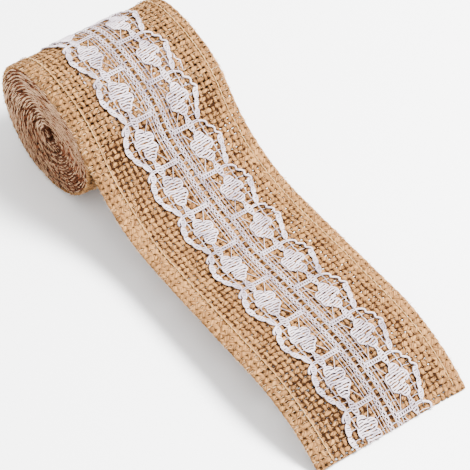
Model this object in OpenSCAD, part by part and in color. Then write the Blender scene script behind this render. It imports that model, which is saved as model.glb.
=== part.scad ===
// Roll of hemmed jute ribbon with a lace trim down its middle: the strip is wound loosely on
// itself, and its outer end comes over the roll and lies on the table in a low arch.
// X runs across the strip, Y along the tail (which points to -Y) and Z up, in millimetres.
// The origin is on the table, in the flat that the roll rests on.

/* [Jute strip] */
// Length of the whole strip
strip_len = 2000; // [800:10:4000]
// Width of the strip between its folded edges
strip_w = 60; // [40:1:120]
// Thickness of one layer of the woven jute
jute_t = 0.65; // [0.5:0.05:1.2]
// Width of the hem folded under along the left edge
left_hem_w = 6; // [3:0.5:9]
// Width of the hem folded under along the right edge
right_hem_w = 4; // [3:0.5:9]
// Thickness of the layer folded under in a hem
hem_t = 0.6; // [0.3:0.05:1]

/* [Lace] */
// Width of the lace across the tips of its scallops
lace_w = 33; // [20:1:38]
// Thickness of the lace
lace_t = 0.28; // [0.15:0.01:0.6]
// Length of one scallop
scallop_pitch = 19; // [10:0.5:30]
// How far a scallop stands out past the notches beside it
scallop_depth = 4.5; // [1:0.5:7]
// Distance from the cut end to the first notch of the right edge
first_notch = 5; // [0:0.5:20]

/* [Roll] */
// Radius of the hole left in the middle of the roll
eye_r = 3.2; // [2:0.1:10]
// Slack left between one turn and the next
wind_gap = 0.1; // [0.02:0.01:0.3]
// The roll is an egg that points along the tail: its front half's depth over its back half's
nose_stretch = 1.42; // [1.15:0.01:1.6]
// How far the tail lifts the front of the roll
nose_lift = 3; // [0:0.5:5]
// How far the hole in the middle lies in front of the flat that the roll rests on
eye_shift = 5; // [0:0.5:7]

/* [Tail] */
// Length of the strip that is off the roll
tail_len = 143; // [125:1:400]
// Radius of the sweep in which the strip comes down off the roll and levels out
sweep_r = 54; // [40:1:80]
// Height of the level stretch above the cut end
arch_h = 13; // [5:0.5:18]
// Radius at which the end curls down to the table
tip_r = 56; // [30:1:90]

/* [Sewing] */
// Width of a sewing thread
thread_w = 0.5; // [0.3:0.05:1]
// Height of a sewing thread above the cloth
thread_t = 0.22; // [0.1:0.02:0.4]
// Distance from the middle of the lace to each row that sews it down
lace_seam_x = 3.5; // [2:0.5:8]

/* [Hidden] */
turn_steps = 30;
step_a = 360 / turn_steps;
pitch = jute_t + lace_t + wind_gap;
wound_len = strip_len - tail_len;
// Length of an egg-shaped turn over that of a round one
turn_share = (2 + 3 * (nose_stretch + 1)
    - sqrt((3 * nose_stretch + 1) * (nose_stretch + 3))) / 4;
// Radius of the jute's middle line where it starts, then its underside's where it leaves the
// roll, from the area that the wound length fills
start_mid_r = eye_r + jute_t / 2;
end_r = sqrt(start_mid_r * start_mid_r + wound_len * pitch / (PI * turn_share)) - jute_t / 2;
turns = wound_len / (PI * turn_share * (eye_r + end_r + jute_t));

// Turns completed at an angle; the layers don't grow over the flat that rests on the table
function grown(a) =
    let (b = a + step_a, full = floor(b / 360), part = b - 360 * full)
    full + max(0, (part - 2 * step_a) / (360 - 2 * step_a));
// Over the flat, a radius is drawn in to the chord that joins the ends of the flat
function flatten(a) =
    let (b = a + step_a, part = b - 360 * floor(b / 360))
    part < 2 * step_a ? cos(step_a) / cos(part - step_a) : 1;
// Where a turn is at an angle, and out from its underside, on a roll that ends at end
function wind_r(a, end) = end_r - pitch * (grown(end) - grown(a));
function axle_z(end) = (wind_r(0, end) + jute_t + lace_t) * cos(step_a);
function rolled(a, out, end) =
    let (r = wind_r(a, end),
         inside = 1 - r / end_r,
         nose = max(0, -sin(a) - sin(step_a)) / (1 - sin(step_a)))
    [flatten(a) * sin(a) * (r * (sin(a) < 0 ? nose_stretch : 1) + out) - eye_shift * inside,
     axle_z(end) - flatten(a) * cos(a) * (r + out) + nose_lift * nose * nose * (1 - inside)];

// The tail: a sweep down off the roll, a level stretch, then down to the table
tip_a = acos(1 - arch_h / tip_r);
tip_z = hem_t * cos(tip_a);
level_z = arch_h + tip_z;

// Angles are taken from straight down, through the back (+Y) and the top of the roll. The
// strip leaves it past the top, where the sweep meets it: there the fall of the sweep is
// just what is left between the roll's surface and the level stretch.
function fall_at(end) =
    let (here = rolled(end, 0, end), before = rolled(end - 1, 0, end))
    atan2(before[1] - here[1], before[0] - here[0]);
function spare(end) = rolled(end, 0, end)[1] - level_z - sweep_r * (1 - cos(fall_at(end)));
function leave(low, high, tries) =
    let (mid = (low + high) / 2)
    tries == 0 ? mid
    : spare(mid) > 0 ? leave(mid, high, tries - 1) : leave(low, mid, tries - 1);
end_a = leave(185, 265, 20);
start_a = end_a - 360 * turns;
first_step = ceil((start_a + 0.5) / step_a);
last_step = ceil(end_a / step_a) - 1;
wind_angles = [start_a, for (k = [first_step : last_step]) k * step_a, end_a];
function wind_line(angles, out) = [for (a = angles) rolled(a, out, end_a)];

fall_a = fall_at(end_a);
leave_point = rolled(end_a, 0, end_a);
sweep_len = sweep_r * fall_a * PI / 180;
tip_len = tip_r * tip_a * PI / 180;
level_len = tail_len - sweep_len - tip_len;
level_start = [leave_point[0] - sweep_r * sin(fall_a), level_z];
tip_start = [level_start[0] - level_len, level_z];

// Middle line of the underside at a distance d from the roll: [y, z, fall angle]
function tail_at(d) =
    d < sweep_len
    ? let (a = fall_a * (1 - d / sweep_len))
        [level_start[0] + sweep_r * sin(a), level_z + sweep_r * (1 - cos(a)), a]
    : d < level_end
    ? [level_start[0] - (d - sweep_len), level_z, 0]
    : let (a = tip_a * (d - level_end) / tip_len)
        [tip_start[0] - tip_r * sin(a), level_z - tip_r * (1 - cos(a)), a];
// The tail's first edge is the one that the roll's last turn ends on
function tail_point(d, out) =
    d == 0 ? rolled(end_a, out, end_a)
    : let (p = tail_at(d)) [p[0] - out * sin(p[2]), p[1] + out * cos(p[2])];
function tail_line(dists, out) = [for (d = dists) tail_point(d, out)];
function spread(from, to, count) = [for (k = [0 : count]) from + (to - from) * k / count];
level_end = tail_len - tip_len;
tail_steps = concat(
    spread(0, sweep_len, 16),
    [for (d = spread(level_end, tail_len, 12)) if (d > sweep_len) d]);
// The fold under the tail starts where the tail is clear of the turn below it
fold_start = sqrt(2 * (hem_t + 0.1) / (1 / end_r + 1 / sweep_r));
fold_steps = [for (d = concat([fold_start], tail_steps)) if (d >= fold_start) d];

// The seams are drawn from just past the flat under the roll, round the back, to the cut end
seam_start_a = 3 * step_a;
seam_angles = [for (k = [3 : last_step]) k * step_a];

// Half the width of the lace at a distance from the cut end, on a side of 1 or -1
function lace_edge(s, side) =
    let (shift = side > 0 ? 0 : scallop_pitch / 2,
         wave = abs(sin(180 * (s - first_notch - shift) / scallop_pitch)))
    lace_w / 2 - scallop_depth * (1 - pow(wave, 0.8));
lace_stations = round(tail_len / 1.6);

// A sheet across the strip, between an inner and an outer line, centred on x
module sheet(inner, outer, width, x = 0) {
    outline = concat(inner, [for (k = [len(outer) - 1 : -1 : 0]) outer[k]]);
    translate([x, 0, 0])
        rotate([90, 0, 90])
            linear_extrude(height = width, center = true)
                polygon(outline);
}

// A thread that lies on the cloth, from the back of the roll to the cut end
module seam_thread(base, x) {
    line_in = concat(wind_line(seam_angles, base), tail_line(tail_steps, base));
    line_out = concat(wind_line(seam_angles, base + thread_t),
        tail_line(tail_steps, base + thread_t));
    sheet(line_in, line_out, thread_w, x);
}

module wound_jute() {
    color("#b98d58")
        sheet(wind_line(wind_angles, 0), wind_line(wind_angles, jute_t), strip_w);
}

module jute_tail() {
    color("#d8b384") {
        sheet(tail_line(tail_steps, 0), tail_line(tail_steps, jute_t), strip_w);
        sheet(tail_line(fold_steps, -hem_t), tail_line(fold_steps, 0), left_hem_w,
            (left_hem_w - strip_w) / 2);
        sheet(tail_line(fold_steps, -hem_t), tail_line(fold_steps, 0), right_hem_w,
            (strip_w - right_hem_w) / 2);
    }
}

module wound_lace() {
    color("#e6e7ef")
        sheet(wind_line(wind_angles, jute_t), wind_line(wind_angles, jute_t + lace_t),
            lace_w - scallop_depth);
}

// The lace on the tail, with scallops along both edges, as one swept band
module tail_lace() {
    rings = [for (k = [0 : lace_stations])
        let (d = tail_len * k / lace_stations,
             s = tail_len - d,
             low = tail_point(d, jute_t),
             high = tail_point(d, jute_t + lace_t),
             left = -lace_edge(s, -1),
             right = lace_edge(s, 1))
        [[left, low[0], low[1]], [right, low[0], low[1]],
         [right, high[0], high[1]], [left, high[0], high[1]]]];
    corners = [for (ring = rings) each ring];
    last = 4 * lace_stations;
    sides = [for (k = [0 : lace_stations - 1], j = [0 : 3])
        let (a = 4 * k + j, b = 4 * k + (j + 1) % 4)
        each [[a, b, b + 4], [a, b + 4, a + 4]]];
    ends = [[0, 3, 2, 1], [last, last + 1, last + 2, last + 3]];
    color("#e6e7ef")
        polyhedron(corners, concat(sides, ends));
}

module left_hem_thread() {
    color("#e8d9bc") seam_thread(jute_t, left_hem_w - strip_w / 2);
}

module right_hem_thread() {
    color("#e8d9bc") seam_thread(jute_t, strip_w / 2 - right_hem_w);
}

module left_lace_thread() {
    color("#f0e6d6") seam_thread(jute_t + lace_t, -lace_seam_x);
}

module right_lace_thread() {
    color("#f0e6d6") seam_thread(jute_t + lace_t, lace_seam_x);
}

wound_jute();
jute_tail();
wound_lace();
tail_lace();
left_hem_thread();
right_hem_thread();
left_lace_thread();
right_lace_thread();
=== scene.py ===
"""A roll of hemmed jute ribbon with a lace trim, its loose end lying in a low arch.

The cloth is woven here from its own yarns and the lace is laid from its own threads. Both are
first drawn flat, where x runs across the strip, y along it from the cut end and z is height
over the cloth, and are then laid on the line that the strip follows: up the tail, round the
roll and in to its middle. Lengths are in metres.
"""
import bmesh
import bpy
import math
import numpy as np
import random
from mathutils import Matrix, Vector


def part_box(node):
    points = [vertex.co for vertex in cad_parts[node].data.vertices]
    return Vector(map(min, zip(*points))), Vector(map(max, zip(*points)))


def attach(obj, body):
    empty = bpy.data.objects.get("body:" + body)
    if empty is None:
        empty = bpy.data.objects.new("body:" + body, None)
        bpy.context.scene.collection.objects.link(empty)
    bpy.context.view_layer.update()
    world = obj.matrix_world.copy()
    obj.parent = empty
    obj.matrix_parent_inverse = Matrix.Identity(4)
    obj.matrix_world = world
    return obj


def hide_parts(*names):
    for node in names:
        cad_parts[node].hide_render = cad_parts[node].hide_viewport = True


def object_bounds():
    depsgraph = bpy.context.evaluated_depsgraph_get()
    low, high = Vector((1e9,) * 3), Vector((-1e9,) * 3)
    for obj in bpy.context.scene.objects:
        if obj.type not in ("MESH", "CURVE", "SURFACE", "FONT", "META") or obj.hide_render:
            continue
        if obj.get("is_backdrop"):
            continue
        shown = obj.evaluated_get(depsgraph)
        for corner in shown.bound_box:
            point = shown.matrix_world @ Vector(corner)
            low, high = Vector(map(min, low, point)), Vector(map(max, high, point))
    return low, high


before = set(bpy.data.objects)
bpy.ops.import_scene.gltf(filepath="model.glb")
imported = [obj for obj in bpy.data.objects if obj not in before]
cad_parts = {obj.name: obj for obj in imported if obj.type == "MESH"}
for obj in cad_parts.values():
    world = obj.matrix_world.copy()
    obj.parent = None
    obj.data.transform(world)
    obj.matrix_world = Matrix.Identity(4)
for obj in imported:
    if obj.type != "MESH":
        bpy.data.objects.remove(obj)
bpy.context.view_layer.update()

MM = 0.001
random.seed(7)

# ---------------------------------------------------------------- driving sizes
# These are the part's own sizes.
STRIP_LEN = 2.0
STRIP_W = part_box("wound_jute")[1].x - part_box("wound_jute")[0].x
LAYER_T = 0.65 * MM
LACE_T = 0.28 * MM
LAYER_PITCH = LAYER_T + LACE_T + 0.1 * MM
LEFT_HEM_W = 6 * MM
RIGHT_HEM_W = 4 * MM
EYE_R = 3.2 * MM
NOSE_STRETCH = 1.42
NOSE_LIFT = 3 * MM
EYE_SHIFT = 5 * MM
TAIL_LEN = 143 * MM
SWEEP_R = 54 * MM
ARCH_H = 13 * MM
TIP_R = 56 * MM
# Half the angle of the flat that the roll rests on
FLAT_A = math.radians(12)
# Where the strip leaves the roll, from straight down through the back and the top of the roll
LEAVE_A = math.radians(246.1)
# The strip's inner end curls across the eye
CURL_R = 1.8 * MM
CURL_STEP = 0.25 * MM
CURL_STEPS = 26
TAIL_STEP = 0.5 * MM
ROLL_STEPS = 240  # points in a turn of the roll

# The weave and the lace
YARN_PITCH = 2.14 * MM
WARP_W = 1.3 * MM
WEFT_W = 1.56 * MM
YARN_T = 0.52 * MM
YARN_WAVE = 0.2 * MM
FOLD_R = 0.5 * MM
LACE_PITCH = 19 * MM
LACE_H = 0.72 * MM
STITCH_PITCH = 2.7 * MM
# The cut runs slightly askew: its distance from the strip's zero, and how it leans across it
CUT_AT = -0.6 * MM
CUT_LEAN = -0.026
# The strip's line runs on past the cut
RUN_OUT = 6 * MM


# ---------------------------------------------------------------- the strip's line
def roll_line():
    """Points (y, z) of the jute's middle line from where it leaves the roll in to the eye."""
    share = (2 + 3 * (NOSE_STRETCH + 1) - math.sqrt((3 * NOSE_STRETCH + 1) * (NOSE_STRETCH + 3))) / 4
    wound = STRIP_LEN - TAIL_LEN
    end_r = math.sqrt((EYE_R + LAYER_T / 2) ** 2 + wound * LAYER_PITCH / (math.pi * share)) - LAYER_T / 2
    turns = wound / (math.pi * share * (EYE_R + end_r + LAYER_T))
    angles = LEAVE_A - np.arange(0, turns * 2 * math.pi, 2 * math.pi / ROLL_STEPS)

    def turn_r(a):
        b = (np.array([LEAVE_A, *a]) + FLAT_A) / (2 * math.pi)
        part = (b - np.floor(b)) * 2 * math.pi
        grown = np.floor(b) + np.maximum(0, (part - 2 * FLAT_A) / (2 * math.pi - 2 * FLAT_A))
        return end_r - LAYER_PITCH * (grown[0] - grown[1:])

    b = np.mod(angles + FLAT_A, 2 * math.pi)
    chord = np.where(b < 2 * FLAT_A, math.cos(FLAT_A) / np.cos(b - FLAT_A), 1.0)
    axle_z = (turn_r([0.0])[0] + LAYER_T + LACE_T) * math.cos(FLAT_A)
    r = turn_r(angles)
    depth = 1 - r / end_r
    # The inner turns were wound by hand: they are a little oval and crooked
    r = r + 0.8 * MM * depth * (np.sin(2 * angles + 0.6) + 0.4 * np.sin(5 * angles + 2.0 * depth))
    stretch = np.where(np.sin(angles) < 0, NOSE_STRETCH, 1.0)
    nose = np.maximum(0, -np.sin(angles) - math.sin(FLAT_A)) / (1 - math.sin(FLAT_A))
    y = chord * np.sin(angles) * (r * stretch + LAYER_T / 2) - EYE_SHIFT * depth
    z = axle_z - chord * np.cos(angles) * (r + LAYER_T / 2) + NOSE_LIFT * nose ** 2 * (1 - depth)
    line = np.stack([y, z], 1)
    # The inner end of the strip curls across the eye and parts it in two
    heading = math.atan2(*(line[-1] - line[-2])[::-1])
    curl = [line[-1]]
    for _ in range(CURL_STEPS):
        heading -= CURL_STEP / CURL_R
        curl.append(curl[-1] + CURL_STEP * np.array([math.cos(heading), math.sin(heading)]))
    return np.concatenate([line, curl[1:]])


def tail_line(top, fall_a):
    """Points (y, z) of the tail's middle line, from its cut end up to where it meets the roll."""
    tip_a = math.acos(1 - ARCH_H / TIP_R)
    sweep, tip = SWEEP_R * fall_a, TIP_R * tip_a
    d = np.arange(0, TAIL_LEN + RUN_OUT, TAIL_STEP)
    heading = np.interp(d, [0, sweep, TAIL_LEN - tip, TAIL_LEN], [fall_a, 0, 0, tip_a])
    mid = (heading[1:] + heading[:-1]) / 2
    y = top[0] - np.concatenate([[0], np.cumsum(np.cos(mid) * TAIL_STEP)])
    z = top[1] - np.concatenate([[0], np.cumsum(np.sin(mid) * TAIL_STEP)])
    return np.stack([y, z], 1)[::-1]


roll_points = roll_line()
off_roll = roll_points[1] - roll_points[0]
tail_points = tail_line(roll_points[0], math.atan2(off_roll[1], off_roll[0]))
strip_points = np.concatenate([tail_points[:-1], roll_points])
strip_steps = np.linalg.norm(np.diff(strip_points, axis=0), axis=1)
LINE_END = strip_steps.sum() - RUN_OUT
EYE = strip_points[-1]
ROLL_TURN = strip_steps[len(tail_points) - 1:][:ROLL_STEPS].sum()


def path_object(points):
    """The strip's line as a curve that the layouts sample; it is removed before the end."""
    data = bpy.data.curves.new("strip_line", "CURVE")
    data.dimensions = "3D"
    line = data.splines.new("POLY")
    line.points.add(len(points) - 1)
    flat = np.zeros((len(points), 4), dtype=np.float32)
    flat[:, 1:3] = points
    flat[:, 3] = 1
    line.points.foreach_set("co", flat.ravel())
    made = bpy.data.objects.new("strip_line", data)
    bpy.context.scene.collection.objects.link(made)
    return made


strip_line = path_object(strip_points)


# ---------------------------------------------------------------- node trees as expressions
class Sock:
    """An output socket or a number that can be used in sums; each operator adds its node."""

    def __init__(self, tree, link):
        self.tree, self.link = tree, link

    def _sum(self, op, other, swap=False):
        a, b = (other, self) if swap else (self, other)
        return self.tree.math(op, a, b)

    def __add__(self, other):
        return self._sum("ADD", other)

    def __radd__(self, other):
        return self._sum("ADD", other, True)

    def __sub__(self, other):
        return self._sum("SUBTRACT", other)

    def __rsub__(self, other):
        return self._sum("SUBTRACT", other, True)

    def __mul__(self, other):
        return self._sum("MULTIPLY", other)

    def __rmul__(self, other):
        return self._sum("MULTIPLY", other, True)

    def __truediv__(self, other):
        return self._sum("DIVIDE", other)


class Tree:
    """Wraps a node tree, so that a node is one call with its settings and its inputs."""

    def __init__(self, nodes_of):
        self.tree = nodes_of

    def node(self, kind, inputs=(), out=0, **settings):
        """Adds a node. inputs maps a socket's name or number to a value or another socket."""
        made = self.tree.nodes.new(kind)
        for key, value in settings.items():
            setattr(made, key, value)
        for key, value in dict(inputs).items():
            if isinstance(key, str):
                key = [i for i, s in enumerate(made.inputs) if s.name == key and s.enabled][0]
            if isinstance(value, Sock):
                self.tree.links.new(value.link, made.inputs[key])
            else:
                made.inputs[key].default_value = value
        if isinstance(out, str):
            out = [i for i, s in enumerate(made.outputs) if s.name == out and s.enabled][0]
        self.last = made
        return Sock(self, made.outputs[out])

    def more(self, out):
        """Another output of the node made last."""
        found = [s for s in self.last.outputs if s.name == out and s.enabled]
        return Sock(self, found[0])

    def math(self, op, *values):
        return self.node("ShaderNodeMath", dict(enumerate(values)), operation=op)

    def vmath(self, op, *values, out=0, **named):
        return self.node("ShaderNodeVectorMath", {**dict(enumerate(values)), **named}, out=out, operation=op)

    def xyz(self, x=0.0, y=0.0, z=0.0):
        return self.node("ShaderNodeCombineXYZ", {0: x, 1: y, 2: z})

    def parts(self, vector):
        x = self.node("ShaderNodeSeparateXYZ", {0: vector})
        return x, self.more("Y"), self.more("Z")

    def ramp(self, value, low, high, smooth=True):
        """0 below low, 1 above high."""
        kind = "SMOOTHSTEP" if smooth else "LINEAR"
        return self.node("ShaderNodeMapRange", {"Value": value, "From Min": low, "From Max": high},
                         interpolation_type=kind)

    def noise(self, vector, scale, detail=1.0, rough=0.5):
        """Smooth noise about 0, from about -0.5 to 0.5."""
        return self.node("ShaderNodeTexNoise", {"Vector": vector, "Scale": scale, "Detail": detail,
                                                "Roughness": rough}) - 0.5


class Layout(Tree):
    """A geometry tree with named inputs."""

    def __init__(self, name):
        super().__init__(bpy.data.node_groups.new(name, "GeometryNodeTree"))
        self.tree.interface.new_socket(name="Mesh", in_out="OUTPUT", socket_type="NodeSocketGeometry")
        self.given = self.tree.nodes.new("NodeGroupInput")

    def input(self, name, value=0.0, kind="Float"):
        made = self.tree.interface.new_socket(name=name, in_out="INPUT", socket_type="NodeSocket" + kind)
        if kind in ("Float", "Int"):
            made.default_value = value
        return Sock(self, self.given.outputs[name])

    def finish(self, mesh, paint):
        """Ends the tree: instances are made real, smoothed and given their material."""
        mesh = self.node("GeometryNodeRealizeInstances", {0: mesh})
        mesh = self.node("GeometryNodeSetShadeSmooth", {0: mesh})
        mesh = self.node("GeometryNodeSetMaterial", {0: mesh, "Material": paint})
        ending = self.tree.nodes.new("NodeGroupOutput")
        self.tree.links.new(mesh.link, ending.inputs[0])


def keep(t, geometry, name, value, kind="FLOAT"):
    """Keeps a value on each point, for the material to read."""
    return t.node("GeometryNodeStoreNamedAttribute", {"Geometry": geometry, "Name": name, "Value": value},
                  data_type=kind, domain="POINT")


def place(t, geometry, where):
    return t.node("GeometryNodeSetPosition", {"Geometry": geometry, "Position": where})


def ripple(t, x, y):
    """How far the cloth stands off its line: it hangs in soft waves where it is off the roll."""
    where = t.xyz(x * 0.6, y, 0.0)
    free = 1.0 - t.ramp(y, TAIL_LEN - 30 * MM, TAIL_LEN + 10 * MM)
    settle = t.ramp(y, 0.0, 25 * MM) * free
    return t.noise(where, 28.0) * (0.25 * MM + settle * (1.6 * MM))


def lay(t, mesh, line):
    """Lays a flat mesh on the strip's line: x across, y along it, z outwards."""
    x, y, z = t.parts(t.node("GeometryNodeInputPosition"))
    curve = t.node("GeometryNodeObjectInfo", {"Object": line}, out="Geometry")
    spot = t.node("GeometryNodeSampleCurve", {"Curves": curve, "Length": y + RUN_OUT}, out="Position",
                  mode="LENGTH", use_all_curves=False)
    along = t.more("Tangent")
    out = t.vmath("NORMALIZE", t.vmath("CROSS_PRODUCT", (1.0, 0.0, 0.0), along))
    lift = z + ripple(t, x, y)
    # The wound turns stand a little in or out of the roll's ends
    inner = t.ramp(y, 330 * MM, 450 * MM)
    stray = inner * t.noise(t.xyz(0.0, y, 8.0), 11.0) * (2.4 * MM) + t.ramp(y, 1.2, LINE_END) * (1.6 * MM)
    where = t.vmath("ADD", t.vmath("ADD", spot, t.xyz(x + stray)), t.vmath("SCALE", out, Scale=lift))
    return place(t, mesh, where)


def hem_lift(t, x, half_w, rise):
    """How much higher the cloth lies over the layer folded under in the hems."""
    hem_w = t.ramp(x, -1 * MM, 1 * MM) * (RIGHT_HEM_W - LEFT_HEM_W) + LEFT_HEM_W
    return t.ramp(t.math("ABSOLUTE", x), half_w - hem_w - 2 * MM, half_w - hem_w + 1.5 * MM) * rise


def fold_hems(t, mesh, half_w, fold_r, rise):
    """Folds under what lies past the edges: x is the place on the unfolded cloth."""
    x, y, z = t.parts(t.node("GeometryNodeInputPosition"))
    side, far = t.math("SIGN", x), t.math("ABSOLUTE", x)
    start = half_w - fold_r
    turn = t.math("MINIMUM", t.math("MAXIMUM", (far - start) / fold_r, 0.0), math.pi)
    rest = t.math("MAXIMUM", far - start - fold_r * math.pi, 0.0)
    up = hem_lift(t, x, half_w, rise)
    out = t.math("MINIMUM", far, start) + t.math("SINE", turn) * (z + fold_r) - rest
    high = up + (t.math("COSINE", turn) - 1.0) * fold_r + t.math("COSINE", turn) * z
    return place(t, mesh, t.xyz(out * side, y, high))


def piece_from(layout, name, **values):
    """Evaluates a layout with these inputs and keeps the result as a plain mesh object."""
    data = bpy.data.meshes.new(name + "_start")
    maker = bpy.data.objects.new(name + "_start", data)
    bpy.context.scene.collection.objects.link(maker)
    layers = maker.modifiers.new("layout", "NODES")
    layers.node_group = layout.tree
    for item in layout.tree.interface.items_tree:
        if item.in_out == "INPUT" and item.name in values:
            layers[item.identifier] = values[item.name]
    view_layer = bpy.context.evaluated_depsgraph_get()
    mesh = bpy.data.meshes.new_from_object(maker.evaluated_get(view_layer))
    mesh.name = name
    bpy.data.objects.remove(maker)
    bpy.data.meshes.remove(data)
    made = bpy.data.objects.new(name, mesh)
    bpy.context.scene.collection.objects.link(made)
    return made


# ---------------------------------------------------------------- the woven cloth
def yarn_layout(name, along_strip):
    """Yarns of one direction of the plain weave, with hems folded under, laid on the line.
    Warp yarns run along the strip and weft yarns across it."""
    t = Layout(name)
    line = t.input("Line", kind="Object")
    yarns, rings = t.input("Yarns", 2, "Int"), t.input("Rings", 2, "Int")
    first, start, end = t.input("First yarn"), t.input("Start"), t.input("End")
    width, thick, wave = t.input("Yarn width"), t.input("Yarn thickness"), t.input("Wave")
    half_w, fold_r, rise = t.input("Half width"), t.input("Fold radius"), t.input("Hem rise")
    stray, sides = t.input("Stray"), t.input("Sides", 8, "Int")
    paint = t.input("Paint", kind="Material")

    run = t.node("GeometryNodeCurvePrimitiveLine", {"End": (0.0, 1.0, 0.0)})
    run = t.node("GeometryNodeResampleCurve", {"Curve": run, "Count": rings})
    row = t.node("GeometryNodeMeshLine", {"Count": yarns, "Offset": (1.0, 0.0, 0.0)})
    cloth = t.node("GeometryNodeInstanceOnPoints", {"Points": row, "Instance": run})
    cloth = t.node("GeometryNodeRealizeInstances", {0: cloth})

    index, part, _ = t.parts(t.node("GeometryNodeInputPosition"))
    across = first + index * YARN_PITCH
    along = start + part * (end - start)
    yarn = t.math("ROUND", across / YARN_PITCH)
    x, y = (across, along) if along_strip else (along, across)
    over = t.math("COSINE", (along + yarn * YARN_PITCH) * (math.pi / YARN_PITCH))
    pressed = t.ramp(t.math("ABSOLUTE", x), half_w - 6.5 * MM, half_w - 5 * MM)
    height = over * wave * (1.0 - pressed * 0.5) * (1.0 if along_strip else -1.0)
    drift = t.xyz(x, y, 0.3)
    own = t.xyz(yarn * 3.7, along * 60.0, 0.0 if along_strip else 50.0)
    slide_x = t.noise(drift, 45.0) * (1.5 * MM) + t.noise(drift, 260.0) * (0.4 * MM)
    drift_y = t.vmath("ADD", drift, (0.7, 0.2, 0.0))
    slide_y = t.noise(drift_y, 45.0) * (1.5 * MM) + t.noise(drift_y, 260.0) * (0.4 * MM)
    sway = t.noise(own, 1.4) * stray
    bob = t.noise(t.vmath("ADD", own, (9.0, 0.0, 4.0)), 4.0) * (0.25 * MM)
    if along_strip:
        slide_x = slide_x + sway
    else:
        slide_y = slide_y + sway
    shade = t.node("ShaderNodeTexWhiteNoise", {"W": yarn + (0.0 if along_strip else 0.37)},
                   noise_dimensions="1D")
    # Slubs, and yarns that lie wider in the hems and where the tail is stretched
    girth = 1.0 + t.noise(own, 1.1) * 0.8 + t.noise(own, 7.0) * 0.35
    closer = t.math("MAXIMUM", t.ramp(y, 20 * MM, 60 * MM), t.ramp(x, 4 * MM, 20 * MM))
    closer = closer * (1.0 - t.ramp(y, 105 * MM, 150 * MM))
    girth = girth + pressed * 0.2 + closer * 0.22 - 0.04
    cloth = keep(t, cloth, "shade", shade)
    cloth = keep(t, cloth, "along", along)
    cloth = keep(t, cloth, "girth", girth)
    cloth = place(t, cloth, t.xyz(x + slide_x, y + slide_y, height + bob))

    cloth = t.node("GeometryNodeSetCurveNormal", {"Curve": cloth}, mode="Z_UP")
    section = t.node("GeometryNodeCurvePrimitiveCircle", {"Resolution": sides, "Radius": 0.5})
    section = keep(t, section, "around", t.node("GeometryNodeSplineParameter"))
    section = t.node("GeometryNodeTransform", {"Geometry": section, "Scale": t.xyz(width, thick, 1.0)})
    girth = t.node("GeometryNodeInputNamedAttribute", {"Name": "girth"}, data_type="FLOAT")
    mesh = t.node("GeometryNodeCurveToMesh", {"Curve": cloth, "Profile Curve": section,
                                              "Scale": girth, "Fill Caps": True})
    height = t.parts(t.node("GeometryNodeInputPosition"))[2]
    mesh = keep(t, mesh, "crown", t.math("ABSOLUTE", height) / (wave + thick * 0.5))
    mesh = fold_hems(t, mesh, half_w, fold_r, rise)
    t.finish(lay(t, mesh, line), paint)
    return t


warp_layout = yarn_layout("warp_yarns", True)
weft_layout = yarn_layout("weft_yarns", False)


def weave(name, paint, start, end, x_from, x_to, warp_from, warp_to, rings=4, **sizes):
    """Warp and weft pieces of a stretch of cloth; places are on the unfolded cloth."""
    shared = {"Line": strip_line, "Yarn thickness": YARN_T, "Wave": YARN_WAVE,
              "Half width": STRIP_W / 2, "Fold radius": FOLD_R, "Hem rise": 0.4 * MM,
              "Stray": 0.45 * MM, "Paint": paint, **sizes}
    low, high = math.ceil(warp_from / YARN_PITCH), math.floor(warp_to / YARN_PITCH)
    steps = round((end - start) / YARN_PITCH * rings)
    warp = piece_from(warp_layout, name + "_warp", Yarns=high - low + 1, Rings=steps + 1, Start=start,
                      End=end, **{"First yarn": low * YARN_PITCH, "Yarn width": WARP_W, **shared})
    low, high = math.ceil(start / YARN_PITCH), math.ceil(end / YARN_PITCH) - 1
    steps = round((x_to - x_from) / YARN_PITCH * rings)
    weft = piece_from(weft_layout, name + "_weft", Yarns=high - low + 1, Rings=steps + 1, Start=x_from,
                      End=x_to, **{"First yarn": low * YARN_PITCH, "Yarn width": WEFT_W, **shared})
    return warp, weft


def trim_end(*pieces):
    """Cuts pieces off along the slightly skew cut at the end of the tail, and closes them."""
    step = strip_points[1] - strip_points[0]
    along = Vector((0, *step)).normalized()
    at = Vector((0, *strip_points[0])) + along * (RUN_OUT + CUT_AT)
    for piece in pieces:
        mesh = bmesh.new()
        mesh.from_mesh(piece.data)
        near = [v for v in mesh.verts if (v.co - at).dot(along) < 4 * MM]
        faces = {f for v in near for f in v.link_faces}
        edges = {e for f in faces for e in f.edges}
        verts = {v for f in faces for v in f.verts}
        cut = bmesh.ops.bisect_plane(mesh, geom=[*verts, *edges, *faces], plane_co=at, clear_inner=True,
                                     plane_no=along - Vector((CUT_LEAN, 0, 0)))
        rim = [e for e in cut["geom_cut"] if isinstance(e, bmesh.types.BMEdge)]
        bmesh.ops.holes_fill(mesh, edges=rim)
        mesh.to_mesh(piece.data)
        mesh.free()


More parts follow.
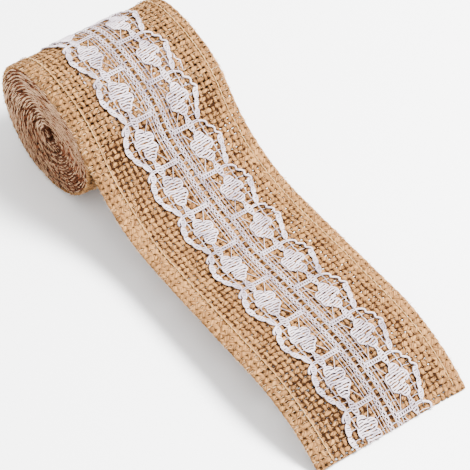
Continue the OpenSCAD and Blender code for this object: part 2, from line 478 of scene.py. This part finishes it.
# ---------------------------------------------------------------- the wound layers
def ribbon_layout():
    """A plain layer that runs along the strip: a flat band with closed sides and ends."""
    t = Layout("wound_layer")
    line = t.input("Line", kind="Object")
    rings, start, end = t.input("Rings", 2, "Int"), t.input("Start"), t.input("End")
    width, thick, high = t.input("Width"), t.input("Thickness"), t.input("Height")
    paint = t.input("Paint", kind="Material")
    run = t.node("GeometryNodeCurvePrimitiveLine", {"Start": t.xyz(0.0, start, high),
                                                    "End": t.xyz(0.0, end, high)})
    run = t.node("GeometryNodeResampleCurve", {"Curve": run, "Count": rings})
    run = keep(t, run, "along", t.node("GeometryNodeSplineParameter", out="Length"))
    run = t.node("GeometryNodeSetCurveNormal", {"Curve": run}, mode="Z_UP")
    section = t.node("GeometryNodeCurvePrimitiveQuadrilateral", {"Width": width, "Height": thick})
    mesh = t.node("GeometryNodeCurveToMesh", {"Curve": run, "Profile Curve": section, "Scale": 1.0,
                                              "Fill Caps": True})
    t.finish(lay(t, mesh, line), paint)
    return t


# ---------------------------------------------------------------- the lace
def across_ovals(ovals, y):
    """Stretches in x that a row at y covers of a shape made of ovals (x, y, half width,
    half length, slant)."""
    spans = []
    for cx, cy, a, b, slant in ovals:
        if abs(y - cy) < b:
            half = a * math.sqrt(1 - ((y - cy) / b) ** 2)
            middle = cx + slant * (y - cy)
            spans.append([middle - half, middle + half])
    joined = []
    for low, high in sorted(spans):
        if joined and low < joined[-1][1] + 0.1:
            joined[-1][1] = max(high, joined[-1][1])
        else:
            joined.append([low, high])
    return joined


def satin(ovals, eye=None, row=0.95, girth=0.31, lean=0.3):
    """Threads laid side by side across a shape; eye is a small oval left open in it."""
    threads = []
    low = min(o[1] - o[3] for o in ovals)
    high = max(o[1] + o[3] for o in ovals)
    for k in range(int((high - low) / row) + 1):
        y = low + (k + 0.5) * row
        spans = across_ovals(ovals, y)
        gaps = across_ovals([eye], y) if eye else []
        for left, right in gaps:
            spans = [part for a, b in spans for part in ((a, left), (right, b))]
        for a, b in spans:
            if b - a > 0.3:
                rise = min(0.16, 0.1 * (b - a))
                slip = lean * min(1, (b - a) / 3)
                bends = max(1, round((b - a) / 0.8))
                bow = [(a, y - slip, 0.0)]
                for n in range(1, bends + 1):
                    part = n / (bends + 1)
                    stray = random.uniform(-0.22, 0.22)
                    bow.append((a + (b - a) * part, y + slip * (2 * part - 1) + stray, rise))
                bow.append((b, y + slip, 0.0))
                threads.append((bow, girth * random.uniform(0.9, 1.1)))
    return threads


def rims(ovals, girth=0.2, high=0.2, step=18):
    """The outline of a shape made of ovals: the runs of each oval's edge outside the others."""
    threads = []
    for n, (cx, cy, a, b, slant) in enumerate(ovals):
        others = ovals[:n] + ovals[n + 1:]
        run, runs = [], []
        for k in range(2 * step + 1):
            turn = 2 * math.pi * k / step
            y = cy + b * math.sin(turn)
            x = cx + slant * (y - cy) + a * math.cos(turn)
            covered = [span for other in others for span in across_ovals([other], y)]
            hidden = any(left - 0.05 < x < right + 0.05 for left, right in covered)
            if hidden:
                runs.append(run)
                run = []
            else:
                run.append((x, y, high))
        runs.append(run)
        whole = max(runs, key=len)
        threads.append((whole[:step + 1], girth))
    return [thread for thread in threads if len(thread[0]) > 2]


def line_thread(points, girth, high=0.1):
    return [([(x, y, high) for x, y in points], girth)]


def mirrored(threads, shift):
    """The same threads on the left of the lace, further along by a shift."""
    return [([(-x, y + shift, z) for x, y, z in points], girth) for points, girth in threads]


def scallop_cord(from_y, to_y, notch=12.7, depth=3.8, span=19.0, beads=0.0):
    """The cord of a scallop's edge, bowed out from one notch to the next in six small beads."""
    count = max(4, round((to_y - from_y) / 0.6))
    points = []
    for k in range(count + 1):
        y = from_y + (to_y - from_y) * k / count
        bow = depth * math.sin(math.pi * y / span) ** 0.9
        points.append((notch + bow + beads * abs(math.sin(math.pi * y / 3.17)), y))
    return points


def lace_side(leaf, lobes, cord_from, band_x, pillars, stem_flip):
    """One side of a repeat of the lace, in millimetres from its middle line."""
    knot = [(9.4, 0, 1.0, 2.6, 0)]
    leaves = satin(leaf, eye=(leaf[0][0], leaf[0][1], 0.6, 0.4, 0)) + satin(knot)
    cords = rims(leaf, 0.25, 0.24) + rims(knot, 0.22)
    net = []
    for lobe in lobes:
        leaves += satin([lobe], row=0.65, girth=0.27)
    cords += rims(lobes, 0.24, 0.26, step=20)
    cords += line_thread(scallop_cord(cord_from, 19.0, beads=1.3), 0.4, 0.24)
    for x in (9.2, 9.9):
        cords += line_thread([(x, 2.4), (x - 0.1, 3.4), (x - 0.1, 4.8)], 0.22, 0.15)
        cords += line_thread([(x, 15.0), (x, 16.0), (x - 0.1, 17.0)], 0.2, 0.15)
    for y in (-0.3, 0.35):
        cords += line_thread([(10.2, y), (11.4, y + 0.15), (12.8, y)], 0.2, 0.15)
    bar_end = band_x + 0.7
    for k in range(int((8.6 - bar_end) / 0.9)):
        x = bar_end + 0.9 * k + 0.3
        bow = [(x, -0.62, 0.02), (x + 0.1, -0.3, 0.12), (x + 0.2, 0.3, 0.12), (x + 0.3, 0.62, 0.02)]
        leaves.append((bow, 0.22))
    for side in (-0.66, 0.66):
        cords += line_thread([(bar_end, side), ((bar_end + 8.6) / 2, side * 0.9), (8.6, side)], 0.2)
    # The ladder band beside the middle: a chain of small rings between two cords
    for k in range(10):
        cords += rims([(band_x, 0.95 + 1.9 * k, 0.5, 0.8, 0)], 0.15, 0.14, step=10)
    for offset in (-0.72, 0.72):
        wave = [(band_x + offset + 0.1 * math.cos(math.pi * y / 0.95), y) for y in np.arange(0, 19.01, 0.95)]
        cords += line_thread(wave, 0.1)
    # Straight pillar threads, the net between them and the slanting threads to the leaf
    for x in pillars:
        net += line_thread([(x, y) for y in np.arange(0, 19.01, 1.9)], 0.085)
    for k in range(5):
        y = 3.8 * k + 0.9
        net += line_thread([(band_x + 0.7, y), (pillars[0], y + 0.5), (pillars[1], y)], 0.07, 0.05)
    near, far = (0, 19) if not stem_flip else (19, 0)
    turn = 1 if not stem_flip else -1
    net += line_thread([(4.6, near + 1.2 * turn), (5.8, near + 3.2 * turn), (7.4, near + 5.6 * turn)], 0.1)
    net += line_thread([(4.8, far - 1.6 * turn), (5.6, far - 3.2 * turn), (6.8, far - 5.4 * turn)], 0.1)
    # Fine ground between the leaf and the scallop
    for k in range(5):
        y = 2.6 + 3.4 * k
        edge = scallop_cord(y, y + 1)[0][0] - 0.4
        inner = max([span[1] for span in across_ovals(leaf, y)] or [9.6])
        net += line_thread([(inner, y), ((inner + edge) / 2, y + 0.3), (edge, y - 0.2)], 0.09, 0.05)
    return leaves, cords, net


RIGHT_LEAF = [(9.3, 9.7, 2.2, 2.8, 0), (9.9, 13.1, 1.9, 2.4, 0.1), (11.5, 10.5, 2.0, 1.9, 0),
              (7.3, 11.2, 2.0, 1.9, 0), (7.4, 8.2, 1.9, 1.8, 0), (9.5, 6.4, 1.7, 2.3, 0)]
RIGHT_LOBES = [(13.9, 2.5, 0.8, 1.8, 0.4), (15.3, 5.7, 0.85, 1.9, 0.4), (16.2, 9.0, 0.85, 1.9, 0.2)]
LEFT_LEAF = [(9.0, 9.7, 2.2, 2.8, 0), (9.3, 13.5, 1.9, 2.3, 0), (10.8, 10.8, 1.8, 1.9, 0),
             (6.9, 11.9, 2.0, 1.9, 0), (7.2, 8.2, 2.0, 1.9, 0), (9.2, 6.3, 1.9, 2.3, 0)]
LEFT_LOBES = [(13.0, 2.6, 0.8, 1.8, 0.3), (14.7, 6.0, 0.95, 1.9, 0.35), (15.8, 9.9, 0.95, 2.1, 0.1),
              (15.1, 13.8, 0.95, 2.0, -0.3), (13.3, 17.2, 0.8, 1.7, -0.35)]


def lace_repeat():
    """The threads of one repeat of the lace: its leaves, its cords and its net."""
    right = lace_side(RIGHT_LEAF, RIGHT_LOBES, 10.0, 2.0, (3.8, 5.0), False)
    left = lace_side(LEFT_LEAF, LEFT_LOBES, 16.5, 1.3, (2.9, 4.1), True)
    layers = [r + mirrored(s, 9.5) for r, s in zip(right, left)]
    for k in range(6):
        y = 1.6 + 3.17 * k
        layers[2] += line_thread([(-0.55, y), (0.4, y + 0.2), (1.25, y)], 0.1, 0.0)
    return layers


def thread_object(name, threads):
    """Threads, in millimetres, as one curve object that a layout repeats."""
    data = bpy.data.curves.new(name, "CURVE")
    data.dimensions = "3D"
    for points, girth in threads:
        run = data.splines.new("POLY")
        run.points.add(len(points) - 1)
        for point, (x, y, z) in zip(run.points, points):
            point.co = (x * MM, y * MM, z * MM, 1)
            point.radius = girth
    made = bpy.data.objects.new(name, data)
    bpy.context.scene.collection.objects.link(made)
    return made


def lace_layout():
    """Repeats one length of lace threads along the strip and lays it on the cloth."""
    t = Layout("lace_repeat")
    line, threads = t.input("Line", kind="Object"), t.input("Threads", kind="Object")
    repeats, first = t.input("Repeats", 2, "Int"), t.input("First notch")
    flat, high, sides = t.input("Flatness"), t.input("Height"), t.input("Sides", 6, "Int")
    paint = t.input("Paint", kind="Material")
    unit = t.node("GeometryNodeObjectInfo", {"Object": threads}, out="Geometry")
    unit = keep(t, unit, "along", t.node("GeometryNodeSplineParameter", out="Length"))
    unit = t.node("GeometryNodeSetCurveNormal", {"Curve": unit}, mode="Z_UP")
    section = t.node("GeometryNodeCurvePrimitiveCircle", {"Resolution": sides, "Radius": MM})
    section = keep(t, section, "around", t.node("GeometryNodeSplineParameter"))
    section = t.node("GeometryNodeTransform", {"Geometry": section, "Scale": t.xyz(1.0, flat, 1.0)})
    unit = t.node("GeometryNodeCurveToMesh", {"Curve": unit, "Profile Curve": section, "Fill Caps": True,
                                              "Scale": t.node("GeometryNodeInputRadius")})
    row = t.node("GeometryNodeMeshLine", {"Count": repeats, "Start Location": t.xyz(0.0, first, 0.0),
                                          "Offset": (0.0, LACE_PITCH, 0.0)})
    mesh = t.node("GeometryNodeInstanceOnPoints", {"Points": row, "Instance": unit})
    mesh = t.node("GeometryNodeRealizeInstances", {0: mesh})
    x, y, z = t.parts(t.node("GeometryNodeInputPosition"))
    shade = t.noise(t.xyz(x, y, 0.7), 120.0, 2.0)
    mesh = keep(t, mesh, "shade", shade + 0.5)
    sway = lace_sway(t, y) + t.noise(t.xyz(0.0, y, 2.0), 30.0) * (0.8 * MM)
    stretch = t.noise(t.xyz(x, y, 5.0), 60.0) * (0.7 * MM)
    mesh = place(t, mesh, t.xyz(x + sway, y + stretch, z + high))
    t.finish(lay(t, mesh, line), paint)
    return t


def lace_sway(t, y):
    """The lace was sewn on by eye: a little off the middle, more so where the tail bends up."""
    bend = t.ramp(y, 82 * MM, 98 * MM) - t.ramp(y, 118 * MM, 140 * MM)
    return bend * (1.6 * MM) + 0.7 * MM


# ---------------------------------------------------------------- sewing and loose fibres
def stitch_layout():
    """A row of stitches along the strip, each a short bow of thread between two holes."""
    t = Layout("stitch_row")
    line = t.input("Line", kind="Object")
    stitches, start, pitch = t.input("Stitches", 2, "Int"), t.input("Start"), t.input("Pitch")
    across, high, low = t.input("Across"), t.input("Top"), t.input("Bottom")
    girth, with_lace = t.input("Girth"), t.input("With lace")
    paint = t.input("Paint", kind="Material")
    bow = t.node("GeometryNodeCurvePrimitiveBezierSegment", {
        "Resolution": 8, "Start": t.xyz(0.0, pitch * -0.52, low), "End": t.xyz(0.0, pitch * 0.52, low),
        "Start Handle": t.xyz(0.0, pitch * -0.42, high * 1.3 - low * 0.3),
        "End Handle": t.xyz(0.0, pitch * 0.42, high * 1.3 - low * 0.3)})
    bow = keep(t, bow, "along", t.node("GeometryNodeSplineParameter", out="Length"))
    section = t.node("GeometryNodeCurvePrimitiveCircle", {"Resolution": 6, "Radius": girth})
    section = keep(t, section, "around", t.node("GeometryNodeSplineParameter"))
    bow = t.node("GeometryNodeCurveToMesh", {"Curve": bow, "Profile Curve": section, "Scale": 1.0,
                                             "Fill Caps": True})
    row = t.node("GeometryNodeMeshLine", {"Count": stitches, "Start Location": t.xyz(0.0, start, 0.0),
                                          "Offset": t.xyz(0.0, pitch, 0.0)})
    turn = t.node("FunctionNodeRandomValue", {"Min": -0.12, "Max": 0.12, "Seed": 3})
    mesh = t.node("GeometryNodeInstanceOnPoints", {"Points": row, "Instance": bow,
                                                   "Rotation": t.xyz(0.0, 0.0, turn)})
    mesh = t.node("GeometryNodeRealizeInstances", {0: mesh})
    x, y, z = t.parts(t.node("GeometryNodeInputPosition"))
    mesh = keep(t, mesh, "shade", t.noise(t.xyz(0.0, y, across), 90.0, 2.0) + 0.5)
    wobble = t.noise(t.xyz(across, y, 1.0), 40.0) * (1.0 * MM)
    mesh = place(t, mesh, t.xyz(x + across + wobble + lace_sway(t, y) * with_lace, y, z))
    t.finish(lay(t, mesh, line), paint)
    return t


def fibre_layout():
    """Loose jute fibres, scattered over a stretch of the strip and lying where they fall."""
    t = Layout("loose_fibres")
    line = t.input("Line", kind="Object")
    x_from, x_to = t.input("From x"), t.input("To x")
    start, end = t.input("Start"), t.input("End")
    density, seed = t.input("Density"), t.input("Seed", 1, "Int")
    low, high, spin = t.input("Lowest"), t.input("Highest"), t.input("Spin")
    bends = t.input("Bends", 5, "Int")
    length, girth, tilt = t.input("Length"), t.input("Girth"), t.input("Tilt")
    rise = t.input("Hem rise")
    paint = t.input("Paint", kind="Material")
    patch = t.node("GeometryNodeMeshGrid", {"Size X": x_to - x_from, "Size Y": end - start,
                                            "Vertices X": 2, "Vertices Y": 2})
    patch = t.node("GeometryNodeTransform", {"Geometry": patch, "Translation":
                                             t.xyz((x_from + x_to) * 0.5, (start + end) * 0.5, 0.0)})
    spots = t.node("GeometryNodeDistributePointsOnFaces", {"Mesh": patch, "Density": density, "Seed": seed})

    def pick(low_end, high_end, number):
        return t.node("FunctionNodeRandomValue", {"Min": low_end, "Max": high_end, "Seed": number})

    where = t.node("GeometryNodeInputPosition")
    spots = place(t, spots, t.vmath("ADD", where, t.xyz(0.0, 0.0, pick(low, high, 5))))
    fibre = t.node("GeometryNodeCurveQuadraticBezier", {
        "Resolution": bends, "Start": (0.0, -0.5, 0.0), "Middle": (0.28, 0.0, 0.1), "End": (-0.05, 0.5, 0.0)})
    fibre = keep(t, fibre, "along", t.node("GeometryNodeSplineParameter"))
    turn = t.xyz(pick(-1.0, 1.0, 6) * tilt, pick(-1.0, 1.0, 7) * tilt, pick(-1.0, 1.0, 8) * spin)
    size = pick(0.5, 1.6, 9) * length
    fibres = t.node("GeometryNodeInstanceOnPoints", {
        "Points": spots, "Instance": fibre, "Rotation": turn,
        "Scale": t.xyz(size * pick(-1.0, 1.0, 10), size, size)})
    fibres = t.node("GeometryNodeRealizeInstances", {0: fibres})
    section = t.node("GeometryNodeCurvePrimitiveCircle", {"Resolution": 3, "Radius": girth})
    part = t.node("GeometryNodeInputNamedAttribute", {"Name": "along"}, data_type="FLOAT")
    taper = 1.0 - t.math("ABSOLUTE", part - 0.5) * 1.2
    mesh = t.node("GeometryNodeCurveToMesh", {"Curve": fibres, "Profile Curve": section, "Scale": taper,
                                              "Fill Caps": True})
    x, y, z = t.parts(t.node("GeometryNodeInputPosition"))
    mesh = keep(t, mesh, "shade", t.noise(t.xyz(x, y, z), 200.0) + 0.5)
    mesh = place(t, mesh, t.xyz(x, y, z + hem_lift(t, x, STRIP_W / 2, rise)))
    t.finish(lay(t, mesh, line), paint)
    return t


# ---------------------------------------------------------------- finishes
class Paint(Tree):
    """A material's tree around its shader, whose constant sockets are given by name."""

    def __init__(self, name, **constants):
        self.material = bpy.data.materials.new(name)
        self.material.use_nodes = True
        super().__init__(self.material.node_tree)
        self.shader = self.tree.nodes["Principled BSDF"]
        for socket, value in constants.items():
            self.shader.inputs[socket.replace("_", " ")].default_value = value

    def read(self, name):
        """A value that the piece keeps on each of its points."""
        return self.node("ShaderNodeAttribute", out="Fac", attribute_name=name)

    def blend(self, factor, first, second):
        colours = {"Factor": factor, "A": first, "B": second}
        return self.node("ShaderNodeMix", colours, out="Result", data_type="RGBA")

    def feed(self, socket, value):
        self.tree.links.new(value.link, self.shader.inputs[socket])

    def bump(self, height, distance, strength=1.0):
        sockets = {"Height": height, "Distance": distance, "Strength": strength}
        self.feed("Normal", self.node("ShaderNodeBump", sockets))


def colour(red, green, blue):
    """A colour as a screen shows it, 0 to 255, for a node socket."""
    def straight(c):
        c /= 255
        return c / 12.92 if c <= 0.04045 else ((c + 0.055) / 1.055) ** 2.4
    return (straight(red), straight(green), straight(blue), 1.0)


def twisted_fibres(t, pitch, streaks, length):
    """Noise drawn out along the fibres of a twisted yarn, from about -0.5 to 0.5."""
    along = t.read("along")
    turn = t.read("around") * (2 * math.pi) + along * (2 * math.pi / pitch)
    where = t.xyz(t.math("COSINE", turn) * streaks, t.math("SINE", turn) * streaks,
                  along / length + t.read("shade") * 30.0)
    return t.noise(where, 1.0, 3.0, 0.6)


def jute_paint(name, straw, tan, brown, deep_shade):
    """Twisted jute yarn: pale fibre streaks on tan, with painted shade where the yarn dips into the cloth
    and painted shade toward the middle of the roll."""
    t = Paint(name, Roughness=0.85, Specular_IOR_Level=0.06)
    streak = twisted_fibres(t, 5 * MM, 1.7, 3 * MM)
    spot = t.node("ShaderNodeTexCoord", out="Object")
    patches = t.noise(spot, 60.0, 2.0)
    side_on = t.vmath("MULTIPLY", spot, (0.0, 1.0, 1.0))
    from_eye = t.vmath("LENGTH", t.vmath("SUBTRACT", side_on, (0.0, *EYE)), out="Value")
    # Painted shade toward the middle of the roll, where the turns lie deep round the eye, with a patchy edge
    inner = t.ramp(from_eye + patches * (9 * MM), 17 * MM, 3 * MM)
    fibre = t.blend(t.ramp(streak, -0.2, 0.16), brown, straw)
    yarn = t.blend(t.ramp(t.read("shade") + patches, 0.1, 1.1) * 0.45, fibre, tan)
    # Painted shade: the yarn is darkened to the deep shade colour where it dips low into the cloth
    dip_shade = t.ramp(t.read("crown") + streak * 0.6, 0.9, 0.2)
    t.feed("Base Color", t.blend(t.math("MAXIMUM", dip_shade * 0.85, inner * 0.6), yarn, deep_shade))
    t.bump(streak, 0.25 * MM, 0.8)
    return t.material


def thread_paint(name, pale, shaded, gloss):
    """Fine spun thread, with its ply as a slight ribbing."""
    t = Paint(name, Roughness=gloss, Specular_IOR_Level=0.15)
    ply = twisted_fibres(t, 0.9 * MM, 0.8, 2 * MM)
    t.feed("Base Color", t.blend(t.ramp(ply + t.read("shade") - 0.5, -0.5, 0.4), shaded, pale))
    t.bump(ply, 0.08 * MM, 0.6)
    return t.material


def floor_paint():
    """A smooth white table, very slightly mottled."""
    t = Paint("floor_white", Roughness=0.6, Specular_IOR_Level=0.2)
    cloud = t.noise(t.node("ShaderNodeTexCoord", out="Object"), 3.0, 2.0)
    t.feed("Base Color", t.blend(cloud + 0.5, (0.93, 0.93, 0.93, 1), (0.95, 0.95, 0.95, 1)))
    return t.material


jute = jute_paint("jute_yarn", straw=colour(168, 122, 74), tan=colour(106, 70, 38),
                  brown=colour(64, 36, 18), deep_shade=colour(22, 9, 3))
# A darker copy of the jute for the fibres under the tail: painted shade seen through the holes of the weave
jute_under = jute_paint("jute_under", straw=colour(110, 70, 36), tan=colour(84, 50, 24),
                        brown=colour(60, 32, 14), deep_shade=colour(28, 12, 4))
# A darker, redder copy of the jute: painted shade for the roll's end faces, which face away from the light
jute_end_shaded = jute_paint("jute_edge", straw=colour(150, 90, 58), tan=colour(90, 48, 30),
                      brown=colour(52, 24, 13), deep_shade=colour(15, 6, 3))
loose_fibre = thread_paint("loose_fibre", colour(222, 184, 140), colour(142, 98, 58), 0.7)
end_fibre = thread_paint("end_fibre", colour(242, 204, 164), colour(176, 124, 86), 0.7)
lace_thread = thread_paint("lace_thread", colour(216, 204, 210), colour(112, 98, 110), 0.5)
hem_thread = thread_paint("hem_thread", colour(196, 160, 110), colour(144, 104, 62), 0.6)

# ---------------------------------------------------------------- making the cloth
TAIL_END = 67 * YARN_PITCH
TURN_END = TAIL_LEN + ROLL_TURN + 4 * MM
LACE_END = LINE_END - 12 * MM
LEFT_CUT = -STRIP_W / 2 - LEFT_HEM_W + 1 * MM
RIGHT_CUT = STRIP_W / 2 + RIGHT_HEM_W - 1 * MM
CORE_W = 54 * MM
WOUND_LACE_W = 28.5 * MM
hemmed = [LEFT_CUT, RIGHT_CUT, LEFT_CUT, RIGHT_CUT]
tail_cloth = weave("jute_tail", jute, -2 * YARN_PITCH, TAIL_END, *hemmed)
trim_end(*tail_cloth)
turn_cloth = weave("jute_turn", jute, TAIL_END, TURN_END, *hemmed, **{"Hem rise": 0.25 * MM})
# Inside the roll the cloth is pressed flat; only its edges are woven, round a plain core
pressed = {"Yarn thickness": 0.34 * MM, "Wave": 0.13 * MM, "Fold radius": 0.24 * MM, "Hem rise": 0.0,
           "Sides": 6, "Yarn width": 1.5 * MM, "Stray": 0.9 * MM}
wound = [TURN_END, LINE_END - 1 * MM]
# The wound edges and the core take the darker copy of the jute: painted shade on the roll's end faces
left_edge = weave("wound_left_edge", jute_end_shaded, *wound, LEFT_CUT, -25 * MM, LEFT_CUT, -26 * MM, 3, **pressed)
right_edge = weave("wound_right_edge", jute_end_shaded, *wound, 26 * MM, RIGHT_CUT, 27 * MM, RIGHT_CUT, 3, **pressed)
ribbon = ribbon_layout()
core = piece_from(ribbon, "wound_core", Line=strip_line, Rings=1600, Start=TURN_END, End=LINE_END,
                  Width=CORE_W, Thickness=0.6 * MM, Height=0.0, Paint=jute_end_shaded)
lace_core = piece_from(ribbon, "wound_lace_band", Line=strip_line, Rings=1600, Start=TURN_END, End=LACE_END,
                       Width=WOUND_LACE_W, Thickness=0.2 * MM, Height=0.44 * MM, Paint=lace_thread)

fibres = fibre_layout()


def scatter(name, x_range, y_range, z_range, per_mm2, length, girth, spin, tilt, paint, bends=5, rise=0.0):
    """Loose fibres over a patch of the strip. Their sizes and the patch's x and z are in
    millimetres; they are turned up to spin in the cloth's plane and up to tilt out of it."""
    return piece_from(fibres, name, Line=strip_line, Start=y_range[0], End=y_range[1],
                      Density=per_mm2 / MM ** 2, Lowest=z_range[0] * MM, Highest=z_range[1] * MM,
                      Length=length * MM, Girth=girth * MM, Spin=spin, Tilt=tilt, Bends=bends, Paint=paint,
                      **{"From x": x_range[0] * MM, "To x": x_range[1] * MM, "Hem rise": rise * MM})


# Fibres that lie on the cloth and under it, stand out along its edges and lie along the turns. The thick dark
# fibres under the tail are partly loose fuzz and partly painted shade behind the holes of the weave
outside = TURN_END - 20 * MM
on_tail, on_turn = (2 * MM, TAIL_END), (TAIL_END, outside)
along_edge, in_roll = (3 * MM, TURN_END), (outside, LINE_END)
tail_fluff = [
    scatter("tail_fibres", (-30, 30), on_tail, (0.5, 0.85), 0.5, 5.0, 0.11, 3.1, 0.05, loose_fibre,
            rise=0.45),
    scatter("tail_under_fibres", (-29, 29), on_tail, (-0.5, -0.3), 1.15, 4.4, 0.45, 3.1, 0.02, jute_under, 3),
    scatter("left_edge_fibres", (-30.5, -28), along_edge, (-0.3, 0.5), 1.0, 4.5, 0.07, 0.7, 0.2, loose_fibre),
    scatter("right_edge_fibres", (28, 30.5), along_edge, (-0.3, 0.5), 0.8, 4.5, 0.07, 0.7, 0.2, loose_fibre)]
turn_fluff = scatter("turn_fibres", (-30, 30), on_turn, (0.5, 0.85), 0.4, 5.0, 0.11, 3.1, 0.05, loose_fibre,
                     rise=0.3)
roll_fluff = [
    scatter("roll_left_fibres", (-30.9, -29.9), in_roll, (-0.6, 0.6), 0.8, 6.0, 0.11, 0.4, 0.3, end_fibre),
    scatter("roll_right_fibres", (29.9, 30.9), in_roll, (-0.6, 0.6), 0.7, 6.5, 0.075, 0.3, 0.3, end_fibre)]

# ---------------------------------------------------------------- making the lace
NOTCH_AT = 2.5 * MM
TURN_REPEATS = 9
lace_threads = [thread_object(name, threads)
                for name, threads in zip(("leaves", "cords", "net"), lace_repeat())]
flatness = {"leaves": 0.7, "cords": 0.85, "net": 0.8}
repeat = lace_layout()
lace = {}
for stretch, first, count in (("tail", -1, 9), ("turn", 8, TURN_REPEATS)):
    for threads in lace_threads:
        lace[stretch, threads.name] = piece_from(
            repeat, "lace_" + stretch + "_" + threads.name, Line=strip_line, Threads=threads, Repeats=count,
            Flatness=flatness[threads.name], Height=LACE_H, Paint=lace_thread,
            **{"First notch": NOTCH_AT + first * LACE_PITCH})
trim_end(*[lace["tail", threads.name] for threads in lace_threads])

# ---------------------------------------------------------------- making the sewing
# Each row of stitches: its side, what it sews, its place across the strip and its height
ROWS = (("left", "hem", -24.0, 1.0), ("right", "hem", 26.3, 1.0),
        ("left", "lace", -12.3, 1.15), ("right", "lace", 13.0, 1.15))
stitches = stitch_layout()
sewing = {"hem": [], "lace": []}
for side, sews, across, high in ROWS:
    made = piece_from(stitches, side + "_" + sews + "_stitches", Line=strip_line,
                      Stitches=round(TURN_END / STITCH_PITCH) - 2, Start=3 * MM, Pitch=STITCH_PITCH,
                      Across=across * MM, Top=high * MM, Bottom=0.1 * MM, Girth=0.16 * MM,
                      Paint=hem_thread if sews == "hem" else lace_thread,
                      **{"With lace": 0.0 if sews == "hem" else 1.0})
    sewing[sews].append(made)

for helper in (strip_line, *lace_threads):
    bpy.data.objects.remove(helper)

# ---------------------------------------------------------------- bodies, the pieces listed by slot and the parts they replace
in_slot = {
    "jute": [*tail_cloth, *turn_cloth, *left_edge, *right_edge, core, *tail_fluff, turn_fluff, *roll_fluff],
    "lace": [*lace.values(), lace_core],
    "hem_thread": sewing["hem"],
    "lace_thread": sewing["lace"]}
for slot, pieces in in_slot.items():
    for made in pieces:
        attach(made, "root")
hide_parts("jute_tail")
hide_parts("wound_jute")
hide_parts("tail_lace")
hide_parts("wound_lace")
for made in (*sewing["hem"], *sewing["lace"]):
    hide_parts(made.name.replace("stitches", "thread"))

# ---------------------------------------------------------------- camera, floor and light
FLOOR_Z = -0.4 * MM
LOOK_AT = Vector((-2.1, -80.1, 20)) * MM
CAMERA_DISTANCE = 0.6865
cam_data = bpy.data.cameras.new("camera")
cam_data.lens = 155.2
camera = bpy.data.objects.new("camera", cam_data)
bpy.context.scene.collection.objects.link(camera)
bpy.context.scene.camera = camera
az, el = math.radians(-36.05), math.radians(48.45)
back = Vector((math.sin(az) * math.cos(el), -math.cos(az) * math.cos(el), math.sin(el)))
camera.location = LOOK_AT + back * CAMERA_DISTANCE
camera.rotation_euler = (-back).to_track_quat("-Z", "Y").to_euler()
cam_data.clip_start = 0.01

bpy.ops.mesh.primitive_plane_add(size=4, location=(0, 0, FLOOR_Z))
floor = bpy.context.object
floor.name = "floor"
floor.data.materials.append(floor_paint())
floor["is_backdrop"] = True
world = bpy.data.worlds.new("soft_white")
bpy.context.scene.world = world
world.use_nodes = True
world.node_tree.nodes["Background"].inputs[0].default_value = (1, 1, 1, 1)
world.node_tree.nodes["Background"].inputs[1].default_value = 2.0


def soft_light(name, watts, size, spot, target):
    lamp = bpy.data.objects.new(name, bpy.data.lights.new(name, "AREA"))
    lamp.data.energy = watts
    lamp.data.size = size
    lamp.location = spot
    lamp.rotation_euler = (Vector(spot) - Vector(target)).to_track_quat("Z", "Y").to_euler()
    bpy.context.scene.collection.objects.link(lamp)


soft_light("key", 60, 0.35, (0.45, -0.35, 0.8), (0, -0.08, 0.02))

low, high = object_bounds()
